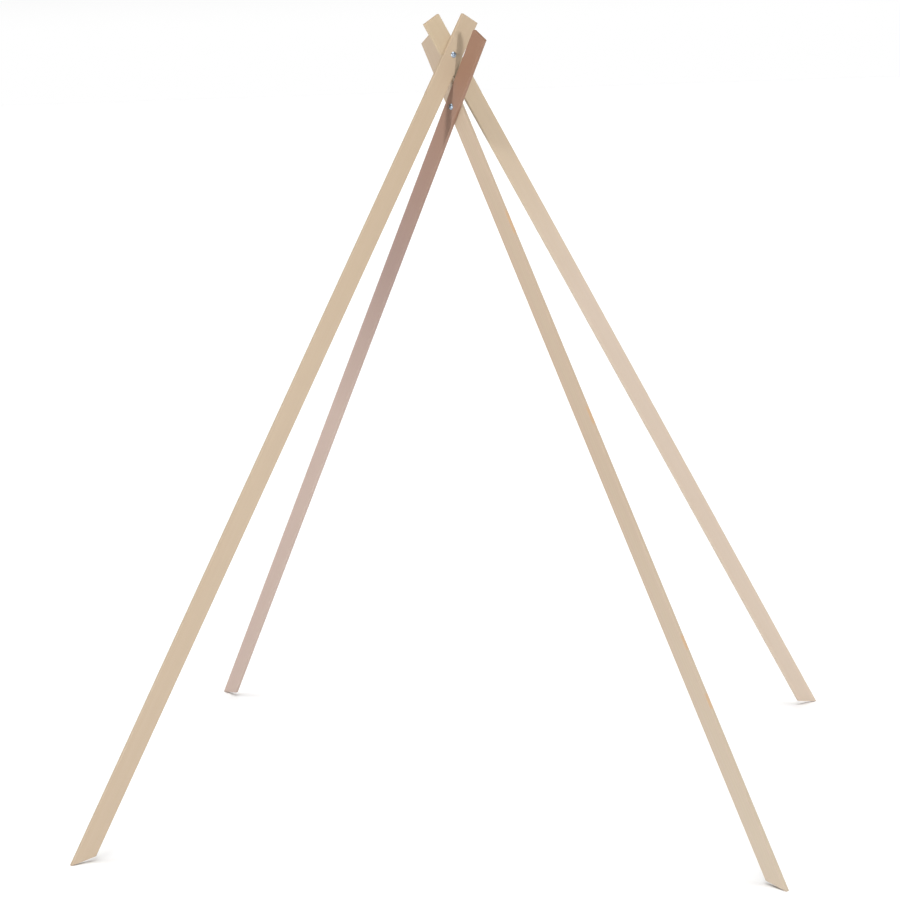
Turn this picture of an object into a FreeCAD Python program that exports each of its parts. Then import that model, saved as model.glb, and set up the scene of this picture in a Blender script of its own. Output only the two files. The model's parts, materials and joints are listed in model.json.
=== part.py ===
import FreeCAD, Part
import os
from math import cos, radians, sin, sqrt, tan

from FreeCAD import Vector

# Frame of a children's play tent: flat wooden slats in two bolted scissor pairs, upper and lower.
#
# Millimetres. The origin is on the floor, at the middle of the frame's box. +Z is up and -Y is the front.
# The legs of each pair pass on both sides of the other pair's crossing, and nothing fastens the two
# pairs together: the upper pair (front left and back right) sits astride the lower pair (back left and
# front right), whose upper arms straddle the upper pair in turn.
#
# The four slats have one section and one length, and differ only in where the bolt hole is drilled.
# A leg is drawn in its own frame: the bolt hole is at the origin along Y, the slat runs along Z with its
# top up, and +X is the side that faces outwards once the leg leans. It lies wholly on the +Y side, so
# two legs that stand half a turn apart lie face to face on one bolt. The bolt's head is on the first leg.

# Slats
SLAT_WIDTH = 40.0
SLAT_THICKNESS = 8.0
SLAT_LENGTH = 1860.5  # along the outer edge, from the square top to the toe
FOOT_CUT = 40.7  # degrees from square, so that the outer corner is the toe
ARRIS_RADIUS = 1.0  # rounding of the four long edges
FACE_GAP = 0.3  # between the two slats of a pair

# Stance. Angles are in degrees. The pairs rest on each other, so each one also leans a little sideways.
UPPER_PAIR = {
    "name": "upper",
    "legs": ("front_left_leg", "back_right_leg"),
    "foot_azimuth": 221.2,  # of the first leg, about Z from the X axis
    "lean": 30.79,  # of both legs, from the middle line between them
    "side_lean": 0.61,  # of the pair, away from the bolt's head
    "bolt_drop": 84.0,  # from the top end of the slats
    "bolt_place": (11.2, 16.0),  # the crossing, seen from above
}
LOWER_PAIR = {
    "name": "lower",
    "legs": ("back_left_leg", "front_right_leg"),
    "foot_azimuth": 138.8,
    "lean": 32.81,
    "side_lean": 1.41,
    "bolt_drop": 167.6,
    "bolt_place": (12.3, 21.1),
}

# M6 furniture bolt: a wide button head with a hexagon socket
BOLT_RADIUS = 3.0
BOLT_LENGTH = 25.0  # under the head
TIP_CHAMFER = 0.6
HEAD_RADIUS = 6.25
HEAD_HEIGHT = 3.6
SOCKET_ACROSS_FLATS = 4.0
SOCKET_DEPTH = 2.0

# Fits
HOLE_CLEARANCE = 0.06  # radial, bolt in slat
SEAT_GAP = 0.2  # under the head and over the washer, so that the legs turn freely
THREAD_CLEARANCE = 0.02  # radial, bolt in nut and nylon ring
INSERT_CLEARANCE = 0.02  # all round, nylon ring in its groove

# Flat washer and lock nut
WASHER_OUTER_RADIUS = 6.0
WASHER_INNER_RADIUS = 3.2
WASHER_THICKNESS = 1.6
NUT_ACROSS_FLATS = 10.0
NUT_HEIGHT = 6.0
NUT_CHAMFER = 30.0  # degrees, off the corners at the far end
NUT_FACE_RADIUS = 4.8  # flat ring left inside that chamfer
INSERT_OUTER_RADIUS = 4.1
INSERT_HEIGHT = 2.0
INSERT_LIP = 0.4  # of nut rolled over the nylon ring

X_AXIS = Vector(1, 0, 0)
Y_AXIS = Vector(0, 1, 0)
Z_AXIS = Vector(0, 0, 1)
ORIGIN = Vector(0, 0, 0)
PAIR_FACE = FACE_GAP / 2 + SLAT_THICKNESS  # from the middle of a pair to its outer broad face
THREADED_RADIUS = BOLT_RADIUS + THREAD_CLEARANCE
INSERT_BOTTOM = INSERT_LIP - NUT_HEIGHT


def bolt_height(pair):
    """Height of a pair's bolt when its lower toe touches the floor."""
    lean, side_lean = radians(pair["lean"]), radians(pair["side_lean"])
    over_feet = (SLAT_LENGTH - pair["bolt_drop"]) * cos(lean) - SLAT_WIDTH / 2 * sin(lean)
    return over_feet * cos(side_lean) + (PAIR_FACE - ARRIS_RADIUS) * sin(side_lean)


def polygon_prism(corners, height_vector):
    return Part.Face(Part.makePolygon(corners + corners[:1])).extrude(height_vector)


def is_lengthwise(edge):
    """Whether an edge of an undrilled, unturned slat is one of its four long edges."""
    first, last = (vertex.Point for vertex in edge.Vertexes)
    return abs(last.z - first.z) > SLAT_LENGTH / 2


def slat(bolt_drop):
    """One leg in its own frame: square at the top, cut at a slant at the foot, drilled for its bolt."""
    half = SLAT_WIDTH / 2
    toe = bolt_drop - SLAT_LENGTH
    heel = toe + SLAT_WIDTH * tan(radians(FOOT_CUT))
    outline = [
        Vector(-half, PAIR_FACE, bolt_drop),
        Vector(half, PAIR_FACE, bolt_drop),
        Vector(half, PAIR_FACE, toe),
        Vector(-half, PAIR_FACE, heel),
    ]
    board = polygon_prism(outline, Y_AXIS * -SLAT_THICKNESS)
    board = board.makeFillet(ARRIS_RADIUS, [edge for edge in board.Edges if is_lengthwise(edge)])
    return board.cut(Part.makeCylinder(BOLT_RADIUS + HOLE_CLEARANCE, 2 * PAIR_FACE, ORIGIN, Y_AXIS))


def stand(shape, pair, azimuth):
    """Turns a shape made about the bolt to an azimuth, then gives it its pair's side lean and place."""
    first_foot = radians(pair["foot_azimuth"])
    shape.rotate(ORIGIN, Z_AXIS, azimuth)
    shape.rotate(ORIGIN, Vector(cos(first_foot), sin(first_foot), 0), pair["side_lean"])
    shape.translate(Vector(*pair["bolt_place"], bolt_height(pair)))
    return shape


def hexagon_prism(across_flats, height, bottom):
    corner_radius = across_flats / sqrt(3)
    turns = [radians(60 * i) for i in range(6)]
    corners = [Vector(corner_radius * cos(turn), corner_radius * sin(turn), bottom) for turn in turns]
    return polygon_prism(corners, Z_AXIS * height)


def ring(outer_radius, inner_radius, height, bottom):
    base = Vector(0, 0, bottom)
    return Part.makeCylinder(outer_radius, height, base).cut(Part.makeCylinder(inner_radius, height, base))


def bolt():
    """Button-head bolt along Z: the head stands on z = 0 and the shank points down."""
    dome_radius = (HEAD_RADIUS**2 + HEAD_HEIGHT**2) / (2 * HEAD_HEIGHT)
    dome = Part.makeSphere(dome_radius, Vector(0, 0, HEAD_HEIGHT - dome_radius))
    head = dome.common(Part.makeCylinder(HEAD_RADIUS, HEAD_HEIGHT))
    head = head.cut(hexagon_prism(SOCKET_ACROSS_FLATS, SOCKET_DEPTH, HEAD_HEIGHT - SOCKET_DEPTH))
    shank_length = BOLT_LENGTH - TIP_CHAMFER
    shank = Part.makeCylinder(BOLT_RADIUS, shank_length, Vector(0, 0, -shank_length))
    tip = Part.makeCone(BOLT_RADIUS - TIP_CHAMFER, BOLT_RADIUS, TIP_CHAMFER, Vector(0, 0, -BOLT_LENGTH))
    return head.fuse([shank, tip]).removeSplitter()


def washer():
    """Flat washer along Z with its upper face on z = 0."""
    return ring(WASHER_OUTER_RADIUS, WASHER_INNER_RADIUS, WASHER_THICKNESS, -WASHER_THICKNESS)


def lock_nut():
    """Lock nut along Z: its bearing face is on z = 0, and the far end is hollowed for a nylon ring."""
    far_end = Vector(0, 0, -NUT_HEIGHT)
    chamfer_reach = NUT_HEIGHT / tan(radians(NUT_CHAMFER))
    chamfer = Part.makeCone(NUT_FACE_RADIUS, NUT_FACE_RADIUS + chamfer_reach, NUT_HEIGHT, far_end)
    body = hexagon_prism(NUT_ACROSS_FLATS, NUT_HEIGHT, -NUT_HEIGHT).common(chamfer)
    thread = Part.makeCylinder(THREADED_RADIUS, NUT_HEIGHT, far_end)
    groove = Part.makeCylinder(INSERT_OUTER_RADIUS, INSERT_HEIGHT, Vector(0, 0, INSERT_BOTTOM))
    mouth = Part.makeCylinder(INSERT_OUTER_RADIUS - INSERT_LIP, INSERT_LIP, far_end)
    return body.cut([thread, groove, mouth])


def nut_insert():
    """Nylon ring that grips the thread, in its groove in the lock nut."""
    radius = INSERT_OUTER_RADIUS - INSERT_CLEARANCE
    height = INSERT_HEIGHT - 2 * INSERT_CLEARANCE
    return ring(radius, THREADED_RADIUS, height, INSERT_BOTTOM + INSERT_CLEARANCE)


def fasteners():
    """The bolt and what is on it, along Z, with z = 0 midway between the two slats."""
    head_seat = PAIR_FACE + SEAT_GAP
    nut_seat = -head_seat - WASHER_THICKNESS
    seats = {
        "bolt": (bolt(), head_seat),
        "washer": (washer(), -head_seat),
        "lock_nut": (lock_nut(), nut_seat),
        "nut_insert": (nut_insert(), nut_seat),
    }
    for shape, seat in seats.values():
        shape.translate(Z_AXIS * seat)
    return {name: shape for name, (shape, seat) in seats.items()}


def export_pair(pair):
    """Writes a pair's slats, whose feet are half a turn apart, and its fasteners."""
    azimuth = pair["foot_azimuth"]
    for name, foot_azimuth in zip(pair["legs"], (azimuth, azimuth + 180)):
        leg = slat(pair["bolt_drop"])
        leg.rotate(ORIGIN, Y_AXIS, -pair["lean"])
        stand(leg, pair, foot_azimuth).exportStep(f"parts/{name}.step")
    for name, shape in fasteners().items():
        shape.rotate(ORIGIN, X_AXIS, -90)
        stand(shape, pair, azimuth).exportStep(f"parts/{pair['name']}_{name}.step")


os.makedirs("parts", exist_ok=True)
export_pair(UPPER_PAIR)
export_pair(LOWER_PAIR)
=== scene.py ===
import json
from math import asin, atan2, ceil, cos, hypot, pi, radians, sin, sqrt, tan

import bmesh
import bpy
from mathutils import Matrix, Vector


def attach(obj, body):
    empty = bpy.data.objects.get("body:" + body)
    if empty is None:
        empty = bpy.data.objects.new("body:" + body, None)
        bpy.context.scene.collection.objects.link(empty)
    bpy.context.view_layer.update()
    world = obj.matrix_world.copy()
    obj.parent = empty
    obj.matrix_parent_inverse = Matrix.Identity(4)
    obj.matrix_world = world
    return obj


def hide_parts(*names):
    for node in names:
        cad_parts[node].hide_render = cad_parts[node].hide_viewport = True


# Frame of a children's play tent: four flat wooden slats in two bolted scissor pairs.
# Metres, in the frame of the CAD model. +Z is up and -Y is the front.

MILLIMETRE = 0.001

# Camera, at the photograph's viewing angle. Angles are in degrees
CAMERA_PLACE = (0.8407, -4.4977, 1.4838)
CAMERA_HEADING = 10.796  # about Z, from looking along +Y
CAMERA_PITCH = -9.646
CAMERA_ROLL = -1.969
SENSOR_WIDTH = 36.0  # millimetres, as the lens
LENS = 89.14

# Distant studio lights. Azimuth is 0 at the front and grows towards +X; all angles are in degrees
LIGHTS = {
    "light_right": dict(azimuth=39, elevation=2, strength=1.65, spread_angle=6),
    "light_left": dict(azimuth=-35, elevation=2, strength=1.85, spread_angle=7),
    "light_behind": dict(azimuth=180, elevation=5, strength=1.4, spread_angle=20),
    "light_above": dict(azimuth=0, elevation=88, strength=3.2, spread_angle=60),
}
HORIZON_LIGHT = 1.0  # of the white studio wall
OVERHEAD_LIGHT = 0.08
WALL_FADE = (0.02, 0.16)  # upward parts of a unit direction between which the wall fades to overhead
FLOOR_HALF = 150.0
FLOOR_TONE = 0.97
VIEW_LIMIT = 500.0

# Slat mesh
ARRIS_RADIUS = 1.0 * MILLIMETRE
ARRIS_STEPS = 4
SUPPORT_INSET = 0.4 * MILLIMETRE  # line of vertices that keeps the flat faces flat beside an arris
BROAD_STEPS = 8  # across a broad face, between its support lines
NARROW_STEPS = 2
STATION_SPACING = 30 * MILLIMETRE  # along the slat
END_EASE = 0.4 * MILLIMETRE  # sanded edge round both cut ends
HOLE_PATCH = 18.6 * MILLIMETRE  # half side of the square of faces round the bolt hole
HOLE_ROWS = (0.45, 0.8, 1.0)  # shares of the way from that square to the hole's rim
HOLE_EASE = 0.35 * MILLIMETRE

# Fastener meshes
ROUND_STEPS = 48  # a multiple of six, so that the hexagons' corners are vertices
EASE_STEPS = 4
DOME_STEPS = 8
SOCKET_ACROSS_FLATS = 4.0 * MILLIMETRE
SOCKET_DEPTH = 2.0 * MILLIMETRE
THREAD_PITCH = 1.0 * MILLIMETRE
THREAD_DEPTH = 0.5 * MILLIMETRE
THREAD_LENGTH = 11.0 * MILLIMETRE
THREAD_ROWS = 8  # in one pitch
THREAD_FLATS = 0.4  # of the thread's depth, cut off the sharp profile: half at the crest, half at the root
TIP_CHAMFER = 0.6 * MILLIMETRE
NUT_CHAMFER = 30.0  # degrees
SMALL_EASE = 0.12 * MILLIMETRE  # broken edges of the metal
SHARP_ANGLE = 34.0  # degrees between faces, over which an edge is drawn sharp


def srgb(red, green, blue):
    """A colour given as 8-bit sRGB, in linear light with alpha."""
    shares = (channel / 255 for channel in (red, green, blue))
    return (*(((s + 0.055) / 1.055) ** 2.4 if s > 0.04045 else s / 12.92 for s in shares), 1.0)


# Wood of each leg. The tones are colours at heights over the bolt hole. Each leg is a little darker towards its
# top, and the back left leg's darker, redder top is partly the timber's tone and partly painted shade of the slats
# that cross in front of it.
# stains are the (middle, half length) of resin streaks on the outer edge. heart is where the log's heart lies from
# the bolt hole, across and through
LEG_WOOD = {
    "front_left_leg": dict(
        tones_and_shade=((-0.8, srgb(180, 162, 140)), (0.0, srgb(175, 156, 132))),
        stains=(),
        heart=(0.09, 0.05),
        seed=1.3,
    ),
    "front_right_leg": dict(
        tones_and_shade=((-1.6, srgb(184, 170, 152)), (-0.8, srgb(178, 160, 140))),
        stains=((-0.285, 0.035), (-0.72, 0.025), (-1.2, 0.02), (-1.32, 0.02)),
        heart=(-0.05, 0.11),
        seed=5.1,
    ),
    "back_left_leg": dict(
        # Darker and redder towards the top: partly the timber's tone, partly painted shade from front_left_leg
        # crossing in front
        tones_and_shade=((-0.8, srgb(174, 155, 145)), (-0.4, srgb(150, 128, 120)), (0.1, srgb(140, 106, 85))),
        stains=(),
        heart=(0.12, 0.02),
        seed=8.7,
    ),
    "back_right_leg": dict(
        tones_and_shade=((-0.6, srgb(188, 172, 156)), (0.0, srgb(180, 162, 136))),
        stains=(),
        heart=(0.10, 0.04),
        seed=12.2,
    ),
}

# Wood grain. RING_WANDER is how far the rings stray, and GRAIN the features in a metre across, through and
# along the slat. TINTS are multiplied over the tone by at most the given share
RING_SPACING = 2.6 * MILLIMETRE
RING_WANDER = 30 * MILLIMETRE
GRAIN = {
    "wander": (4, 4, 0.9),
    "blotches": (14, 14, 5),
    "streaks": (110, 110, 1.7),
    "fibres": (1300, 1300, 16),
    "sanding": (3000, 3000, 900),
}
TINTS = {
    "latewood": (0.10, (0.80, 0.70, 0.58, 1)),
    "streaks": (0.10, (0.86, 0.80, 0.70, 1)),
    "blotches": (0.10, (0.90, 0.84, 0.82, 1)),
    "fibres": (0.12, (0.84, 0.78, 0.70, 1)),
    "arris": (0.03, (0.80, 0.72, 0.64, 1)),
    "end_grain": (0.45, (0.82, 0.68, 0.50, 1)),
}
STAIN_TINT = srgb(190, 148, 104)
STAIN_SHARE = 0.5

ZINC_TONES = ((0.29, 0.35, 0.42, 1), (0.40, 0.47, 0.55, 1))
NYLON_TONES = (srgb(226, 224, 214), srgb(240, 239, 232))

# The leg of each pair that the bolt's head is on
FIRST_LEGS = {"upper": "front_left_leg", "lower": "back_left_leg"}

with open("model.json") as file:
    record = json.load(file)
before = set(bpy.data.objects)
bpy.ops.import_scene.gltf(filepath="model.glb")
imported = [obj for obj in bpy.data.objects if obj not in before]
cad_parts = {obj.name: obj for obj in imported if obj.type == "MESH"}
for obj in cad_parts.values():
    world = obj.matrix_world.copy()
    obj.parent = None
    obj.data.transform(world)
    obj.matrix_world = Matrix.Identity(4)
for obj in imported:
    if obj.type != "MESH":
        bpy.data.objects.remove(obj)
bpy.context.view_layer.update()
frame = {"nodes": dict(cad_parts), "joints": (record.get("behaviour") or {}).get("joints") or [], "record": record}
JOINTS = {joint["name"]: joint for joint in frame["joints"]}
MOUNTS = {mount["name"]: mount for mount in frame["record"]["mounts"]}
BODY_OF = {node: body for body, nodes in frame["record"]["behaviour"]["bodies"].items() for node in nodes}


# ---------------------------------------------------------------------------------------- meshes


def finish_piece(mesh, node, material):
    """Makes a mesh the visible piece that stands for a CAD node."""
    piece = bpy.data.objects.new(mesh.name, mesh)
    bpy.context.scene.collection.objects.link(piece)
    mesh.materials.append(material)
    mesh.shade_smooth()
    mesh.set_sharp_from_angle(angle=radians(SHARP_ANGLE))
    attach(piece, BODY_OF[node])
    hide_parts(node)


def join_rows(bm, lower, upper):
    """Quads between two closed rows of vertices."""
    for i in range(len(lower)):
        j = (i + 1) % len(lower)
        bm.faces.new((lower[i], lower[j], upper[j], upper[i]))


def mesh_in_row(bm, name, to_row):
    """Turns a bmesh made in a local frame into a mesh in the row's frame.

    Each vertex keeps its local place in the attribute "local", so that a material follows its piece.
    """
    bmesh.ops.recalc_face_normals(bm, faces=bm.faces)
    mesh = bpy.data.meshes.new(name)
    bm.to_mesh(mesh)
    bm.free()
    local = mesh.attributes.new("local", "FLOAT_VECTOR", "POINT")
    local.data.foreach_set("vector", [number for vertex in mesh.vertices for number in vertex.co])
    mesh.transform(to_row)
    return mesh


def leg_frame(node):
    """A leg's own frame: the bolt hole at the origin along Y, the slat along Z, and +X on its outer edge."""
    joint = JOINTS[f"{node}_hinge"]
    across = Vector(MOUNTS[f"{node.removesuffix('_leg')}_cover_edge"]["axis"]).normalized()
    through = Vector(joint["axis"]).normalized()
    along = across.cross(through).normalized()
    turn = Matrix((across, through, along)).transposed().to_4x4()
    return Matrix.Translation(Vector(joint["pos_m"])) @ turn


def slat_size(node, to_row):
    """Extents of a CAD slat in its leg's frame, with the heights of both corners of its foot."""
    to_leg = to_row.inverted()
    points = [to_leg @ vertex.co for vertex in frame["nodes"][node].data.vertices]
    low = Vector(min(point[axis] for point in points) for axis in range(3))
    high = Vector(max(point[axis] for point in points) for axis in range(3))
    hole = [point for point in points if abs(point.x) < high.x / 2 and abs(point.z) < high.x / 2]
    heel = max(point.z for point in points if point.z < low.z / 2)
    return dict(
        half_width=(high.x - low.x) / 2,
        near=low.y,
        far=high.y,
        top=high.z,
        toe=low.z,
        heel=heel,
        hole_radius=max(point.xz.length for point in hole),
    )


def spread(start, end, steps):
    """Evenly spaced numbers from start to end, both included."""
    return [start + (end - start) * i / steps for i in range(steps + 1)]


def section_outline(half_width, near, far, inset):
    """A slat's cross-section as (x, y, arris) points, anticlockwise seen from the top.

    The first run of points is the near broad face. arris is 1 in the middle of a rounded corner and 0 on a
    flat.
    """
    middle = (near + far) / 2
    half = (half_width, (far - near) / 2)
    radius = ARRIS_RADIUS - inset
    outline = []
    for side, steps in enumerate((BROAD_STEPS, NARROW_STEPS, BROAD_STEPS, NARROW_STEPS)):
        turn = side * pi / 2
        reach, depth = half if side % 2 == 0 else half[::-1]
        flat = reach - ARRIS_RADIUS
        inner = flat - SUPPORT_INSET
        run = [(-flat, 0.0), *((along, 0.0) for along in spread(-inner, inner, steps)), (flat, 0.0)]
        points = [(along, inset - depth, arris) for along, arris in run]
        for i in range(1, ARRIS_STEPS):
            angle = i / ARRIS_STEPS * pi / 2
            corner = sin(2 * angle)
            points.append((flat + radius * sin(angle), ARRIS_RADIUS - depth - radius * cos(angle), corner))
        for x, y, arris in points:
            outline.append((x * cos(turn) - y * sin(turn), x * sin(turn) + y * cos(turn) + middle, arris))
    return outline


def slat_stations(size):
    """Shares of the way from the foot to the top at which the slat has a row of vertices.

    The eight steps across the bolt hole's patch are as long as those across the broad face.
    """
    length = size["top"] - size["toe"]
    patch = spread(-HOLE_PATCH, HOLE_PATCH, BROAD_STEPS)
    below = spread(size["toe"] + END_EASE, -HOLE_PATCH, ceil((-HOLE_PATCH - size["toe"]) / STATION_SPACING))
    above = spread(HOLE_PATCH, size["top"] - END_EASE, ceil((size["top"] - HOLE_PATCH) / STATION_SPACING))
    heights = [*below[:-1], *patch, *above[1:]]
    return [(height - size["toe"]) / length for height in heights], len(below) - 1


def hole_rings(bm, border, size, y, outward):
    """Rows of vertices from a broad face's square of faces down into the bolt hole. Returns the last row."""
    rim_radius = size["hole_radius"] + HOLE_EASE
    rows = [border]
    for share in HOLE_ROWS:
        row = []
        for vertex in border:
            rim = Vector((vertex.co.x, 0, vertex.co.z)).normalized() * rim_radius
            rim.y = y
            row.append(bm.verts.new(vertex.co.lerp(rim, share)))
        rows.append(row)
    wall = []
    for vertex in rows[-1]:
        radial = Vector((vertex.co.x, 0, vertex.co.z)).normalized() * size["hole_radius"]
        wall.append(bm.verts.new((radial.x, y - outward * HOLE_EASE, radial.z)))
    rows.append(wall)
    for first, second in zip(rows, rows[1:]):
        join_rows(bm, first, second)
    return wall


def slat_mesh(node, to_row):
    """A slat with rounded arrises, sanded ends and a drilled hole, square at the top and slanted at the foot.

    Its vertices carry how far they are round an arris and whether they are on end grain, for the material.
    """
    size = slat_size(node, to_row)
    stations, patch_start = slat_stations(size)
    patch_end = patch_start + BROAD_STEPS
    section = section_outline(size["half_width"], size["near"], size["far"], 0)
    eased = section_outline(size["half_width"], size["near"], size["far"], END_EASE)

    bm = bmesh.new()
    arris_layer = bm.verts.layers.float.new("arris")
    end_layer = bm.verts.layers.float.new("end_grain")

    def row(outline, share, offset=0.0, end=0.0):
        """A ring of vertices; every ring slants a little less than the one nearer the foot."""
        vertices = []
        for x, y, arris in outline:
            from_outer_edge = (size["half_width"] - x) / (2 * size["half_width"])
            foot = size["toe"] + from_outer_edge * (size["heel"] - size["toe"])
            vertex = bm.verts.new((x, y, foot + share * (size["top"] - foot) + offset))
            vertex[arris_layer] = arris
            vertex[end_layer] = end
            vertices.append(vertex)
        return vertices

    foot_cap = row(eased, 0.0, end=1.0)
    rows = [row(section, share) for share in stations]
    top_cap = row(eased, 1.0, end=1.0)

    # Where a broad face's columns start in a ring, after the corner point and on the near or the far side
    per_broad = BROAD_STEPS + 3 + ARRIS_STEPS - 1
    per_narrow = NARROW_STEPS + 3 + ARRIS_STEPS - 1
    near_columns = range(1, 1 + BROAD_STEPS)
    far_columns = range(per_broad + per_narrow + 1, per_broad + per_narrow + 1 + BROAD_STEPS)

    count = len(section)
    rings = [foot_cap, *rows, top_cap]
    for index, (lower, upper) in enumerate(zip(rings, rings[1:])):
        in_patch = patch_start < index <= patch_end
        for i in range(count):
            if in_patch and (i in near_columns or i in far_columns):
                continue
            j = (i + 1) % count
            bm.faces.new((lower[i], lower[j], upper[j], upper[i]))

    walls = []
    for columns, y, outward in ((near_columns, size["near"], -1), (far_columns, size["far"], 1)):
        first, last = columns[0], columns[-1] + 1
        band = rows[patch_start : patch_end + 1]
        border = [
            *(band[0][i] for i in range(first, last)),
            *(line[last] for line in band[:-1]),
            *(band[-1][i] for i in range(last, first, -1)),
            *(line[first] for line in band[:0:-1]),
        ]
        walls.append(hole_rings(bm, border, size, y, outward))
    near_wall, far_wall = walls
    # The far border runs the other way round, so its hole's vertices are matched by angle
    by_angle = {round(atan2(v.co.z, v.co.x), 4): v for v in far_wall}
    far_wall = [by_angle[round(atan2(v.co.z, v.co.x), 4)] for v in near_wall]
    join_rows(bm, near_wall, far_wall)

    bm.faces.new(foot_cap[::-1])
    bm.faces.new(top_cap)
    return mesh_in_row(bm, f"{node}_slat", to_row)


def pair_frame(first_leg):
    """A pair's frame: Z along the bolt towards its head, which is on the first leg, and X level."""
    joint = JOINTS[f"{first_leg}_hinge"]
    along = Vector(joint["axis"]).normalized()
    level = along.cross((0, 0, 1)).normalized()
    turn = Matrix((level, along.cross(level), along)).transposed().to_4x4()
    return Matrix.Translation(Vector(joint["pos_m"])) @ turn


def round_size(node, to_row, below=1.0):
    """Extents of a CAD fastener in its pair's frame, along the bolt and out from its middle line.

    Only the points lower than below count.
    """
    to_pair = to_row.inverted()
    points = [to_pair @ vertex.co for vertex in frame["nodes"][node].data.vertices]
    points = [point for point in points if point.z < below]
    radii = [point.xy.length for point in points]
    return dict(
        low=min(point.z for point in points),
        high=max(point.z for point in points),
        inner=min(radii),
        outer=max(radii),
        across_flats=2 * max(point.y for point in points),
    )


def eased(corners):
    """(radius, height) points along a profile whose (radius, height, ease) corners are rounded off.

    ease is how far before and after the corner the rounding reaches. 0 leaves the corner sharp.
    """
    points = []
    for i, (radius, height, ease) in enumerate(corners):
        corner = Vector((radius, height))
        if ease == 0:
            points.append(corner)
            continue
        before = Vector(corners[i - 1][:2]) - corner
        after = Vector(corners[(i + 1) % len(corners)][:2]) - corner
        start = corner + before.normalized() * ease
        end = corner + after.normalized() * ease
        for share in spread(0, 1, EASE_STEPS):
            points.append(start.lerp(corner, share).lerp(corner.lerp(end, share), share))
    return points


def turned_mesh(name, rows, to_row, is_ring):
    """A body made of rows of vertices round Z.

    A row is a (radius, height) pair, or a function that gives one from an angle. A ring's last row meets its
    first, and any other body is closed at both ends by a point on its middle line.
    """
    bm = bmesh.new()
    loops = []
    for row in rows:
        loop = []
        for angle in spread(0, 2 * pi, ROUND_STEPS)[:-1]:
            radius, height = row(angle) if callable(row) else row
            loop.append(bm.verts.new((radius * cos(angle), radius * sin(angle), height)))
        loops.append(loop)
    for first, second in zip(loops, loops[1:]):
        join_rows(bm, first, second)
    if is_ring:
        join_rows(bm, loops[-1], loops[0])
    else:
        for loop in (loops[0], loops[-1]):
            middle = bm.verts.new((0, 0, loop[0].co.z))
            for i in range(ROUND_STEPS):
                bm.faces.new((middle, loop[i - 1], loop[i]))
    return mesh_in_row(bm, name, to_row)


def hexagon_row(across_flats, height):
    """A hexagonal row with a corner on the X axis. height is a number, or a function of the radius."""

    def row(angle):
        radius = across_flats / 2 / cos(angle % (pi / 3) - pi / 6)
        return radius, height(radius) if callable(height) else height

    return row


def thread_row(height, start, tip, radius):
    """A row of a right-hand thread that deepens from its start over one pitch and ends in a chamfer."""

    def row(angle):
        turns = (height / THREAD_PITCH - angle / (2 * pi)) % 1
        groove = min(max(abs(2 * turns - 1) * (1 + THREAD_FLATS) - THREAD_FLATS / 2, 0), 1)
        depth = THREAD_DEPTH * min((start - height) / THREAD_PITCH, 1)
        return min(radius - depth * groove, radius - TIP_CHAMFER + height - tip), height

    return row


def bolt_mesh(name, to_row, bolt, shank_radius, seat):
    """Button-head bolt: rows from the hexagon socket's floor out over the dome and down to the tip."""
    top, tip, head_radius = bolt["high"], bolt["low"], bolt["outer"]
    # The dome passes through the head's outer edge, and at the top through the middles of the socket's sides
    across = (SOCKET_ACROSS_FLATS / 2) ** 2 - head_radius**2
    dome_middle = (seat + top) / 2 + across / (2 * (top - seat))
    dome_radius = hypot(head_radius, seat - dome_middle)
    socket_rim = SOCKET_ACROSS_FLATS / sqrt(3) + SMALL_EASE
    first, last = asin(socket_rim / dome_radius), asin((head_radius - SMALL_EASE) / dome_radius)
    angles = spread(first, last, DOME_STEPS)
    dome = [(dome_radius * sin(angle), dome_middle + dome_radius * cos(angle)) for angle in angles]
    socket_floor = top - SOCKET_DEPTH
    socket = [
        hexagon_row(SOCKET_ACROSS_FLATS - SMALL_EASE, socket_floor),
        hexagon_row(SOCKET_ACROSS_FLATS, socket_floor + SMALL_EASE),
        hexagon_row(SOCKET_ACROSS_FLATS, dome[0][1] - 2 * SMALL_EASE),
    ]
    thread_start = tip + THREAD_LENGTH
    under_head = eased(
        [
            (*dome[-1], 0),
            (head_radius, seat, 2 * SMALL_EASE),
            (shank_radius, seat, SMALL_EASE),
            (shank_radius, thread_start, 0),
        ]
    )
    heights = spread(thread_start, tip, round(THREAD_LENGTH / THREAD_PITCH * THREAD_ROWS))
    thread = [thread_row(height, thread_start, tip, shank_radius) for height in heights[1:]]
    return turned_mesh(name, [*socket, *dome, *under_head[1:], *thread], to_row, is_ring=False)


def washer_mesh(name, to_row, washer):
    """Stamped washer: one face's outer edge is drawn over, and the other edges are only broken."""
    profile = [
        (washer["inner"], washer["high"], SMALL_EASE),
        (washer["inner"], washer["low"], SMALL_EASE),
        (washer["outer"], washer["low"], 3 * SMALL_EASE),
        (washer["outer"], washer["high"], SMALL_EASE),
    ]
    return turned_mesh(name, eased(profile), to_row, is_ring=True)


def lock_nut_mesh(name, to_row, nut, insert):
    """Lock nut: chamfered hexagon with its bearing face up, hollowed at the far end for a nylon ring."""
    across_flats = nut["across_flats"]
    face_radius = across_flats / 2 - 2 * SMALL_EASE
    top, bottom, bore = nut["high"], nut["low"], nut["inner"]
    mouth = (insert["inner"] + insert["outer"]) / 2
    inside = eased(
        [
            (face_radius, bottom, 0),
            (mouth, bottom, 2 * SMALL_EASE),
            (mouth, insert["low"], 0),
            (insert["outer"], insert["low"], 0),
            (insert["outer"], insert["high"], 0),
            (bore, insert["high"], 0),
            (bore, top, 3 * SMALL_EASE),
            (face_radius, top, 0),
        ]
    )
    outside = [
        hexagon_row(across_flats - 2 * SMALL_EASE, top),
        hexagon_row(across_flats, top - SMALL_EASE),
        hexagon_row(across_flats, lambda radius: bottom + (radius - face_radius) * tan(radians(NUT_CHAMFER))),
    ]
    return turned_mesh(name, [*inside, *outside], to_row, is_ring=True)


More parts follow.
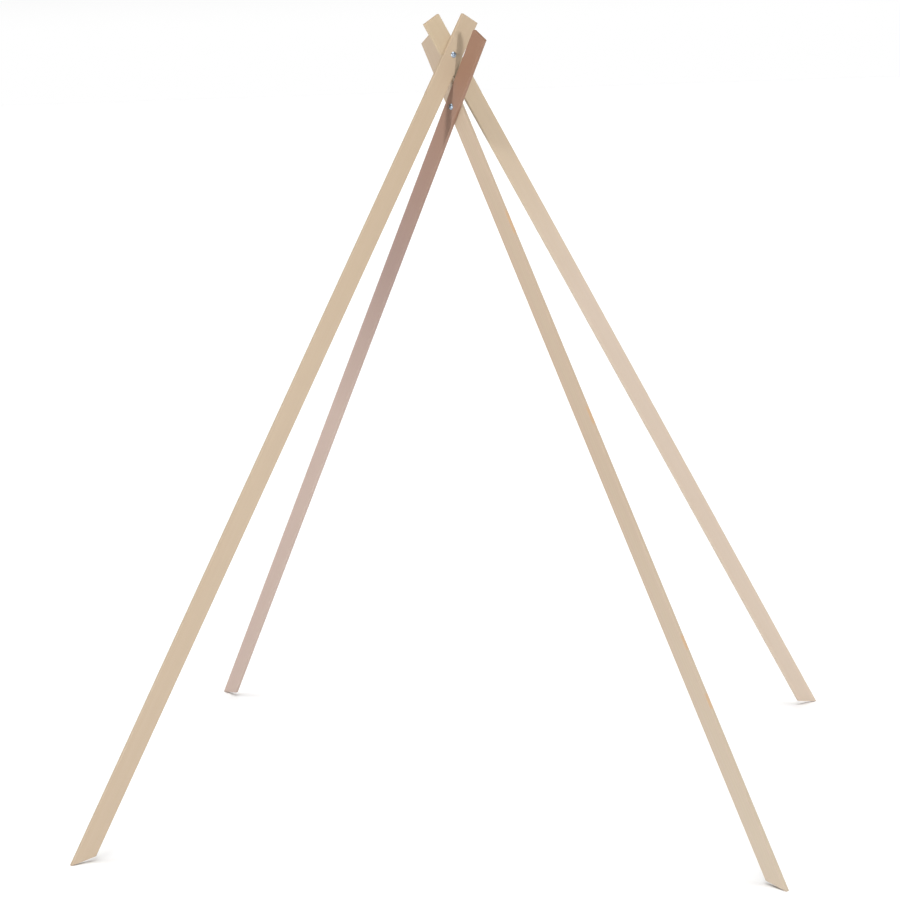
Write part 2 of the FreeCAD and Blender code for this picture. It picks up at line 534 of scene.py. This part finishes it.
def nylon_ring_mesh(name, to_row, insert):
    """Nylon ring whose edges are moulded round."""
    profile = [
        (insert[radius], insert[height], 2 * SMALL_EASE)
        for radius, height in (("inner", "high"), ("inner", "low"), ("outer", "low"), ("outer", "high"))
    ]
    return turned_mesh(name, eased(profile), to_row, is_ring=True)


# ------------------------------------------------------------------------------------- materials


class Shader:
    """Adds nodes to a new material. An input is a number, a colour, a vector or another node's output."""

    def __init__(self, name):
        self.material = bpy.data.materials.new(name)
        self.material.use_nodes = True
        self.tree = self.material.node_tree
        self.surface = self.tree.nodes["Principled BSDF"]

    def feed(self, socket, value):
        if isinstance(value, bpy.types.NodeSocket):
            self.tree.links.new(value, socket)
        else:
            socket.default_value = value

    def add(self, kind, inputs, output=0, **settings):
        node = self.tree.nodes.new(kind)
        for name, value in settings.items():
            setattr(node, name, value)
        for key, value in inputs.items():
            self.feed(node.inputs[key], value)
        return node.outputs[output]

    def set_surface(self, **inputs):
        for name, value in inputs.items():
            self.feed(self.surface.inputs[name.replace("_", " ").title().replace("Ior", "IOR")], value)

    def attribute(self, name, output):
        return self.add("ShaderNodeAttribute", {}, output, attribute_name=name)

    def math(self, operation, first, second=0.0):
        return self.add("ShaderNodeMath", {0: first, 1: second}, operation=operation)

    def vector_math(self, operation, first, second, output=0):
        return self.add("ShaderNodeVectorMath", {0: first, 1: second}, output, operation=operation)

    def noise(self, position, frequency, detail=2.0):
        """Noise of 0 to 1 whose grain has the given number of features in a metre along each axis."""
        scaled = self.vector_math("MULTIPLY", position, frequency)
        return self.add("ShaderNodeTexNoise", {"Vector": scaled, "Scale": 1.0, "Detail": detail})

    def remap(self, value, from_low, from_high, to_low, to_high):
        """A smooth step of value between two levels."""
        levels = {"From Min": from_low, "From Max": from_high, "To Min": to_low, "To Max": to_high}
        return self.add("ShaderNodeMapRange", {"Value": value, **levels}, interpolation_type="SMOOTHSTEP")

    def mix(self, share, first, second, blend="MIX"):
        inputs = {0: share, 6: first, 7: second}
        return self.add("ShaderNodeMix", inputs, 2, data_type="RGBA", blend_type=blend)

    def ramp(self, value, stops):
        """A colour from (position, colour) stops in rising order."""
        node = self.tree.nodes.new("ShaderNodeValToRGB")
        elements = node.color_ramp.elements
        elements.remove(elements[0])
        elements[0].position, elements[0].color = stops[0]
        for position, colour in stops[1:]:
            elements.new(position).color = colour
        self.tree.links.new(value, node.inputs[0])
        return node.outputs[0]

    def bump(self, height, distance, strength, normal=None):
        inputs = {"Height": height, "Distance": distance, "Strength": strength}
        if normal is not None:
            inputs["Normal"] = normal
        return self.add("ShaderNodeBump", inputs)


def wood_material(name, size, tones_and_shade, stains, heart, seed):
    """Smooth sanded pale softwood: growth rings round the log's heart, fibres, streaks and blotches."""
    wood = Shader(name)

    def tinted(colour, kind, amount):
        share, tint = TINTS[kind]
        return wood.mix(wood.math("MULTIPLY", amount, share), colour, tint, "MULTIPLY")

    place = wood.attribute("local", 1)
    across = wood.add("ShaderNodeSeparateXYZ", {0: place}, 0)
    height = wood.add("ShaderNodeSeparateXYZ", {0: place}, 2)
    grain_place = wood.vector_math("ADD", place, (seed, 2 * seed, 3 * seed))

    # The tone drifts along the slat and darkens towards the top; on the back left leg that darker top is partly
    # painted shade
    length = size["top"] - size["toe"]
    up = wood.math("DIVIDE", wood.math("SUBTRACT", height, size["toe"]), length)
    tone_and_shade = wood.ramp(up, [((level - size["toe"]) / length, colour) for level, colour in tones_and_shade])

    # Growth rings wander slowly along the slat. Latewood is the narrow darker part of a ring
    wander = wood.noise(grain_place, GRAIN["wander"], detail=1)
    strayed = wood.math("MULTIPLY", wood.math("SUBTRACT", wander, 0.5), RING_WANDER)
    centred = wood.vector_math("SUBTRACT", place, (*heart, 0))
    flattened = wood.vector_math("MULTIPLY", centred, (1, 1, 0))
    distance = wood.vector_math("LENGTH", flattened, (0, 0, 0), output=1)
    ring_phase = wood.math("DIVIDE", wood.math("ADD", distance, strayed), RING_SPACING)
    ring_share = wood.math("FRACT", ring_phase)
    rise = wood.remap(ring_share, 0.35, 0.85, 0, 1)
    fall = wood.remap(ring_share, 0.88, 1.0, 1, 0)
    latewood = wood.math("MULTIPLY", rise, fall)

    fibres = wood.noise(grain_place, GRAIN["fibres"], detail=3)
    streaks = wood.noise(grain_place, GRAIN["streaks"])
    blotches = wood.noise(grain_place, GRAIN["blotches"])
    colour = tinted(tone_and_shade, "latewood", latewood)
    colour = tinted(colour, "streaks", wood.remap(streaks, 0.35, 0.75, 0, 1))
    colour = tinted(colour, "blotches", wood.remap(blotches, 0.3, 0.7, 1, 0))
    colour = tinted(colour, "fibres", wood.remap(fibres, 0.3, 0.7, 1, 0))

    # Resin streaks lie on the outer narrow edge
    edge = wood.remap(across, size["half_width"] - ARRIS_RADIUS, size["half_width"], 0, STAIN_SHARE)
    for middle, half_length in stains:
        from_middle = wood.math("ABSOLUTE", wood.math("SUBTRACT", height, middle))
        share = wood.math("MULTIPLY", edge, wood.remap(from_middle, 0.5 * half_length, half_length, 1, 0))
        colour = wood.mix(share, colour, STAIN_TINT)

    # Arrises are rubbed a little darker, and cut ends drink more oil and dirt
    colour = tinted(colour, "arris", wood.attribute("arris", 2))
    colour = tinted(colour, "end_grain", wood.attribute("end_grain", 2))

    roughness = wood.math("ADD", wood.math("MULTIPLY", fibres, 0.16), 0.52)
    relief = wood.math("ADD", wood.math("MULTIPLY", latewood, 0.35), fibres)
    sanding = wood.noise(grain_place, GRAIN["sanding"], detail=1)
    bumped = wood.bump(relief, 0.06 * MILLIMETRE, 0.5)
    wood.set_surface(
        base_color=colour,
        roughness=roughness,
        normal=wood.bump(sanding, 0.02 * MILLIMETRE, 0.3, bumped),
    )
    return wood.material


def zinc_material():
    """Zinc plate: faintly blue, with cloudy patches and fine wheel marks."""
    zinc = Shader("zinc_plate")
    place = zinc.attribute("local", 1)
    clouds = zinc.noise(place, (420, 420, 420))
    marks = zinc.noise(place, (5200, 5200, 900))
    colour = zinc.mix(zinc.remap(clouds, 0.3, 0.7, 0, 1), *ZINC_TONES)
    zinc.set_surface(
        base_color=colour,
        metallic=1.0,
        roughness=zinc.math("ADD", zinc.math("MULTIPLY", clouds, 0.16), 0.32),
        normal=zinc.bump(marks, 0.01 * MILLIMETRE, 0.35),
    )
    return zinc.material


def nylon_material():
    """Natural nylon: off-white, and a little waxy."""
    nylon = Shader("natural_nylon")
    place = nylon.attribute("local", 1)
    clouds = nylon.noise(place, (500, 500, 500))
    colour = nylon.mix(clouds, *NYLON_TONES)
    nylon.set_surface(
        base_color=colour,
        roughness=nylon.math("ADD", nylon.math("MULTIPLY", clouds, 0.2), 0.35),
        normal=nylon.bump(clouds, 0.02 * MILLIMETRE, 0.3),
    )
    return nylon.material


# ---------------------------------------------------------------------------------------- pieces

for node, wood_facts in LEG_WOOD.items():
    to_row = leg_frame(node)
    material = wood_material(f"{node}_wood", slat_size(node, to_row), **wood_facts)
    finish_piece(slat_mesh(node, to_row), node, material)

zinc_plate = zinc_material()
natural_nylon = nylon_material()
for pair, first_leg in FIRST_LEGS.items():
    to_row = pair_frame(first_leg)
    nodes = [f"{pair}_{part}" for part in ("bolt", "washer", "lock_nut", "nut_insert")]
    bolt, washer, nut, insert = (round_size(node, to_row) for node in nodes)
    shank_radius = round_size(nodes[0], to_row, below=0.0)["outer"]
    details = [f"{node}_detail" for node in nodes]
    finish_piece(bolt_mesh(details[0], to_row, bolt, shank_radius, -washer["high"]), nodes[0], zinc_plate)
    finish_piece(washer_mesh(details[1], to_row, washer), nodes[1], zinc_plate)
    finish_piece(lock_nut_mesh(details[2], to_row, nut, insert), nodes[2], zinc_plate)
    finish_piece(nylon_ring_mesh(details[3], to_row, insert), nodes[3], natural_nylon)


# ----------------------------------------------------------------------------------------- stage


def make_floor():
    bm = bmesh.new()
    bmesh.ops.create_grid(bm, x_segments=8, y_segments=8, size=FLOOR_HALF)
    mesh = bpy.data.meshes.new("floor")
    bm.to_mesh(mesh)
    bm.free()
    floor_object = bpy.data.objects.new("floor", mesh)
    bpy.context.scene.collection.objects.link(floor_object)
    paper = Shader("floor_paper")
    paper.set_surface(base_color=(FLOOR_TONE, FLOOR_TONE, FLOOR_TONE, 1), roughness=0.9)
    mesh.materials.append(paper.material)


def make_light(name, azimuth, elevation, strength, spread_angle):
    """A soft distant light that comes from an azimuth and an elevation."""
    lamp = bpy.data.lights.new(name, "SUN")
    lamp.energy = strength
    lamp.angle = radians(spread_angle)
    lamp_object = bpy.data.objects.new(name, lamp)
    turn = Matrix.Rotation(radians(azimuth), 4, "Z") @ Matrix.Rotation(radians(90 - elevation), 4, "X")
    lamp_object.matrix_world = turn
    bpy.context.scene.collection.objects.link(lamp_object)


def make_world():
    """A studio that is white at the horizon and dimmer overhead."""
    world = bpy.data.worlds.new("studio")
    world.use_nodes = True
    tree = world.node_tree
    direction = tree.nodes.new("ShaderNodeTexCoord")
    split = tree.nodes.new("ShaderNodeSeparateXYZ")
    fade = tree.nodes.new("ShaderNodeMapRange")
    fade.interpolation_type = "SMOOTHSTEP"
    levels = (*WALL_FADE, HORIZON_LIGHT, OVERHEAD_LIGHT)
    for name, value in zip(("From Min", "From Max", "To Min", "To Max"), levels):
        fade.inputs[name].default_value = value
    background = tree.nodes["Background"]
    background.inputs["Color"].default_value = (1, 1, 1, 1)
    tree.links.new(direction.outputs["Generated"], split.inputs[0])
    tree.links.new(split.outputs["Z"], fade.inputs["Value"])
    tree.links.new(fade.outputs["Result"], background.inputs["Strength"])
    bpy.context.scene.world = world


def make_camera():
    lens = bpy.data.cameras.new("camera")
    lens.sensor_width = SENSOR_WIDTH
    lens.lens = LENS
    lens.clip_end = VIEW_LIMIT
    camera = bpy.data.objects.new("camera", lens)
    turn = (
        Matrix.Rotation(radians(CAMERA_HEADING), 4, "Z")
        @ Matrix.Rotation(radians(90 + CAMERA_PITCH), 4, "X")
        @ Matrix.Rotation(radians(CAMERA_ROLL), 4, "Z")
    )
    camera.matrix_world = Matrix.Translation(CAMERA_PLACE) @ turn
    bpy.context.scene.collection.objects.link(camera)
    bpy.context.scene.camera = camera


make_floor()
make_world()
for name, light_facts in LIGHTS.items():
    make_light(name, **light_facts)
make_camera()
bpy.context.scene.view_settings.view_transform = "Standard"
